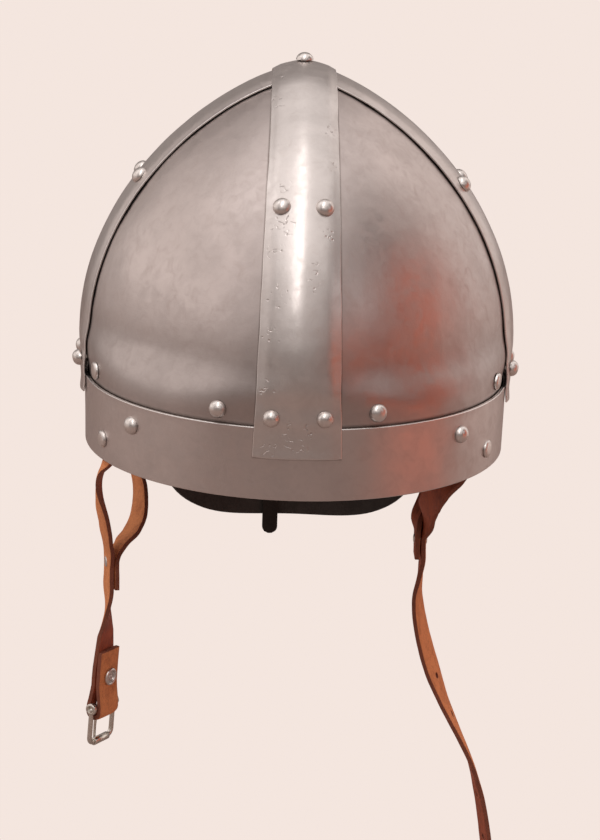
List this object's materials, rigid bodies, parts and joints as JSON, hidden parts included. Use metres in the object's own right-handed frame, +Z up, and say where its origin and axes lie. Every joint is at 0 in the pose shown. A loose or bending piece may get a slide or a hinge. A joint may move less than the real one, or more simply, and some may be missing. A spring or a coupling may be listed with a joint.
{
  "type": "riveted viking helmet",
  "caption": "Pointed riveted steel helmet with crossed dome straps, brow band, laced leather liner, nape flap and forked leather chin straps with a roller buckle.",
  "frame": {"origin": "centre of the head opening, in the plane of the brow band's lower edge", "axes": "+Z up to the peak, -Y to the front of the helmet, +X to the side of the long strap without a buckle"},
  "size_m": [0.2117, 0.2384, 0.4201],
  "materials": {
    "panel_steel": "satin, hand-worked, slightly mottled",
    "strap_steel": "satin, polished edges, small pits",
    "rivet_steel": "polished domed heads",
    "black_leather": "matte, dyed black",
    "tan_leather": "rough flesh side, dark brown grain side",
    "buckle_metal": "bright wire"
  },
  "bodies": {
    "helmet": {"panel_front_left": "panel_steel", "panel_front_right": "panel_steel", "panel_rear_left": "panel_steel", "panel_rear_right": "panel_steel", "brow_band": "strap_steel", "side_strap": "strap_steel", "crown_strap": "strap_steel", "peak_rivet": "rivet_steel", "crown_strap_rivets": "rivet_steel", "side_strap_rivets": "rivet_steel", "liner_rivets": "rivet_steel", "band_rivets": "rivet_steel", "chin_strap_rivets": "rivet_steel", "liner_washers": "rivet_steel", "chin_strap_washers": "rivet_steel", "liner": "black_leather", "liner_lace": "black_leather", "nape_flap": "black_leather", "nape_thong": "black_leather", "left_strap_ends": "tan_leather", "right_strap_ends": "tan_leather"},
    "left_strap": {"left_chin_strap": "tan_leather", "left_strap_branch": "tan_leather", "left_joint_rivet": "rivet_steel", "loop_rivet": "rivet_steel"},
    "buckle": {"buckle_frame": "buckle_metal"},
    "roller": {"buckle_roller": "buckle_metal"},
    "prong": {"buckle_prong": "buckle_metal"},
    "right_strap": {"right_chin_strap": "tan_leather", "right_strap_branch": "tan_leather", "right_joint_rivet": "rivet_steel"}
  },
  "joints": [
    {"name": "left_strap_swing", "type": "hinge", "parent": "helmet", "child": "left_strap", "pos_m": [-0.088, 0, -0.0044], "axis": [0, 1, 0], "range_deg": [-35, 70]},
    {"name": "right_strap_swing", "type": "hinge", "parent": "helmet", "child": "right_strap", "pos_m": [0.0834, 0, -0.0044], "axis": [0, -1, 0], "range_deg": [-20, 70]},
    {"name": "buckle_swing", "type": "hinge", "parent": "left_strap", "child": "buckle", "pos_m": [-0.0896, 0.0006, -0.1385], "axis": [0.5299, 0.848, 0], "range_deg": [-110, 110]},
    {"name": "prong_swing", "type": "hinge", "parent": "buckle", "child": "prong", "pos_m": [-0.0896, 0.0006, -0.1385], "axis": [0.5299, 0.848, 0], "range_deg": [0, 100]},
    {"name": "roller_spin", "type": "hinge", "parent": "buckle", "child": "roller", "pos_m": [-0.09064, 0.00125, -0.15606], "axis": [0.5299, 0.848, 0], "continuous": true}
  ]
}
